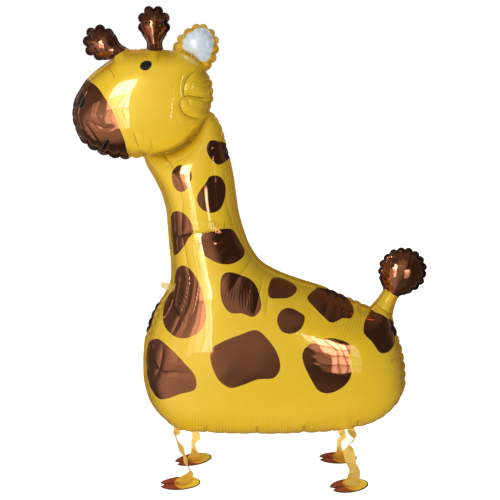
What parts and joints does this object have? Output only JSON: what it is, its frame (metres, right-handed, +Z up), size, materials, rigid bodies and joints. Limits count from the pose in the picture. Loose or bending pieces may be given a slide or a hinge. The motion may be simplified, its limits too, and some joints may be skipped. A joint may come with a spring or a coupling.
{
  "type": "walking giraffe foil balloon",
  "caption": "Inflated foil balloon shaped as a giraffe that stands on paper ribbon legs with card hooves.",
  "frame": {"origin": "on the floor, under the middle of the balloon's outline, in the plane of its welded seam", "axes": "+Z up, the giraffe looks towards -X, its left side faces -Y"},
  "size_m": [0.7332, 0.238, 0.9977],
  "materials": {
    "printed_foil": "metallised film, printed yellow with copper-brown spots, high gloss",
    "clear_film": "clear film",
    "yellow_paper": "matte paper, white on the back",
    "printed_card": "printed card, satin"
  },
  "bodies": {
    "root": {"foil_balloon": "printed_foil", "inflation_valve": "clear_film", "leg_front_near": "yellow_paper", "leg_front_far": "yellow_paper", "leg_rear_near": "yellow_paper", "leg_rear_far": "yellow_paper", "hoof_front_near": "printed_card", "hoof_front_far": "printed_card", "hoof_rear_near": "printed_card", "hoof_rear_far": "printed_card"}
  },
  "joints": []
}
